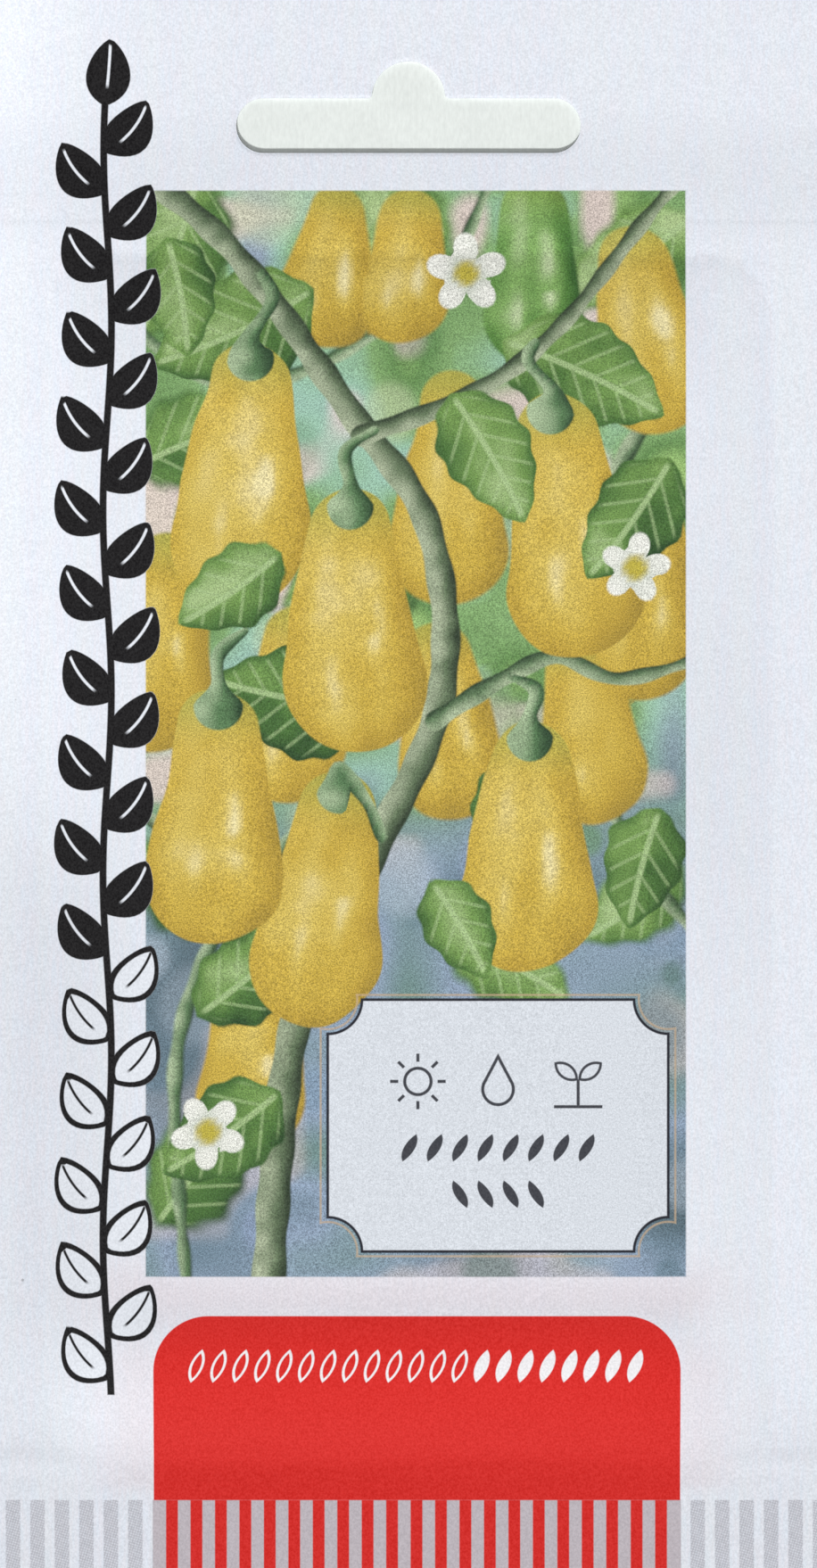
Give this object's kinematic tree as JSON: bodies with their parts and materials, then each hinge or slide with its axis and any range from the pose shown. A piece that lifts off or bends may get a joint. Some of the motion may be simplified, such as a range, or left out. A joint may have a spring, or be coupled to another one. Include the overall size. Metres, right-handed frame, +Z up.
{
  "type": "seed packet",
  "caption": "Flat sealed paper seed packet with a hang slot in its header and loose chilli seeds in a shallow, slightly swollen pocket.",
  "frame": {"origin": "on the surface that the packet lies on, under the middle of its outline", "axes": "+Z up out of the printed front, +Y towards the header with the hang slot, +X across the width"},
  "size_m": [0.078, 0.15, 0.0027],
  "materials": {
    "printed_paper": "white satin laminate, printed on the outside",
    "back_paper": "white satin laminate",
    "seed_coat": "dry straw-coloured seed coat"
  },
  "bodies": {
    "root": {"front_panel": "printed_paper", "back_panel": "back_paper", "seed_01": "seed_coat", "seed_02": "seed_coat", "seed_03": "seed_coat", "seed_04": "seed_coat", "seed_05": "seed_coat", "seed_06": "seed_coat", "seed_07": "seed_coat", "seed_08": "seed_coat", "seed_09": "seed_coat", "seed_10": "seed_coat", "seed_11": "seed_coat", "seed_12": "seed_coat", "seed_13": "seed_coat", "seed_14": "seed_coat", "seed_15": "seed_coat"}
  },
  "joints": []
}
